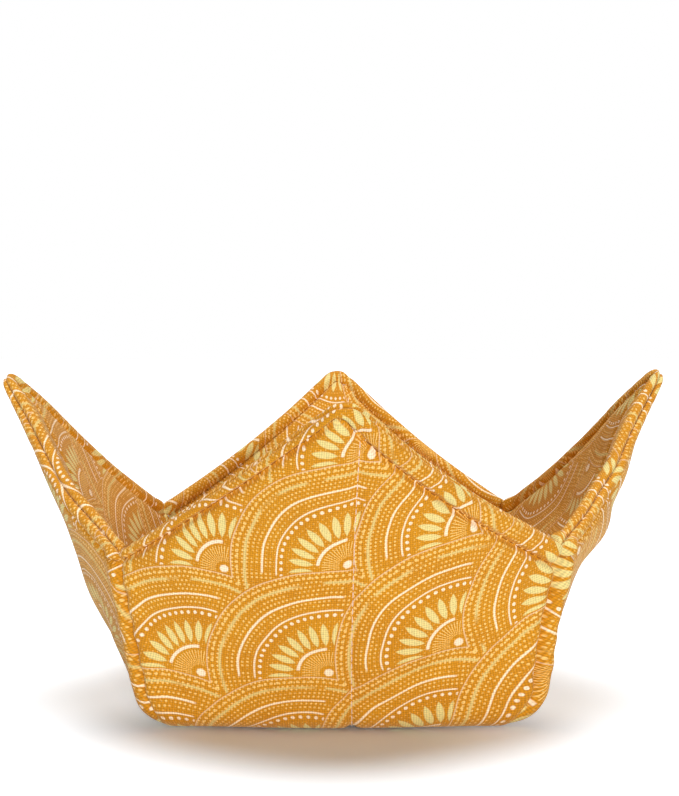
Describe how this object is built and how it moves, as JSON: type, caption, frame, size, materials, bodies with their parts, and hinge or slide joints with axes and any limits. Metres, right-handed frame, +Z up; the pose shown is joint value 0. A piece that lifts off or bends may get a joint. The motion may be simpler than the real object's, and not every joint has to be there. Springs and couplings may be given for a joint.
{
  "type": "microwave bowl cozy",
  "caption": "Quilted cotton bowl holder: a flat square base, walls shaped by darts at the diagonals, and pointed corners as grips. Two cloth skins over wadding.",
  "frame": {"origin": "middle of the base, on the surface the cozy stands on", "axes": "+Z up out of the bowl; the four pointed corners of the cloth lie along +X, -X, +Y and -Y, and the dart seams on the diagonals between them; the corner at -Y faces the viewer of the picture"},
  "size_m": [0.216, 0.216, 0.1019],
  "materials": {
    "printed_cotton": "plain-weave cotton, gold with a cream scallop print",
    "lining_cotton": "plain-weave cotton, gold with a cream scallop print",
    "wadding": "undyed needled cotton wadding"
  },
  "bodies": {
    "root": {"outer_cover": "printed_cotton", "outer_batting": "wadding", "lining_batting": "wadding", "lining": "lining_cotton"}
  },
  "joints": []
}
